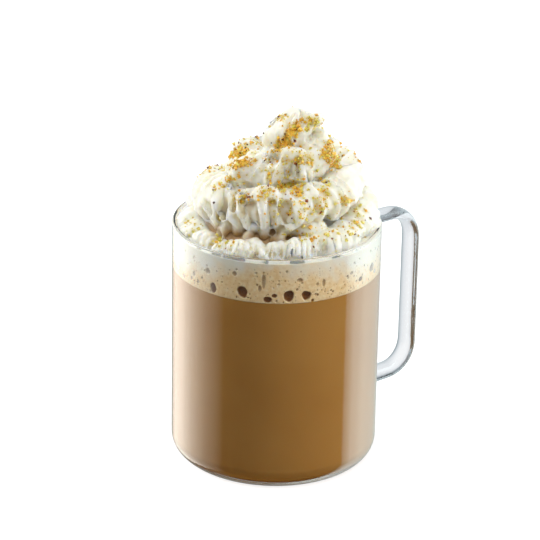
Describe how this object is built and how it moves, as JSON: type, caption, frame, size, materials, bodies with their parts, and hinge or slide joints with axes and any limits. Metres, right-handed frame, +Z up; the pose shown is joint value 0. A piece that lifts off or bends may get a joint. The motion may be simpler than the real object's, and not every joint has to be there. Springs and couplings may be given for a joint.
{
  "type": "salted caramel latte in a glass mug",
  "caption": "Milky coffee with foam and a tall piped swirl of whipped cream with caramel crumbs, in a straight clear glass mug with a C handle.",
  "frame": {"origin": "centre of the mug's flat underside", "axes": "+Z up, +X from the mug's axis to its handle, +Y across the handle's plane"},
  "size_m": [0.1174, 0.085, 0.1491],
  "materials": {
    "clear_glass": "clear, smooth",
    "milky_coffee": "opaque liquid",
    "milk_foam": "fine wet foam with larger bubbles",
    "whipped_cream": "soft satin, fluted",
    "caramel_crumbs": "glassy broken caramel and sugar"
  },
  "bodies": {
    "root": {"mug": "clear_glass", "coffee": "milky_coffee", "milk_foam": "milk_foam", "whipped_cream": "whipped_cream"}
  },
  "joints": []
}
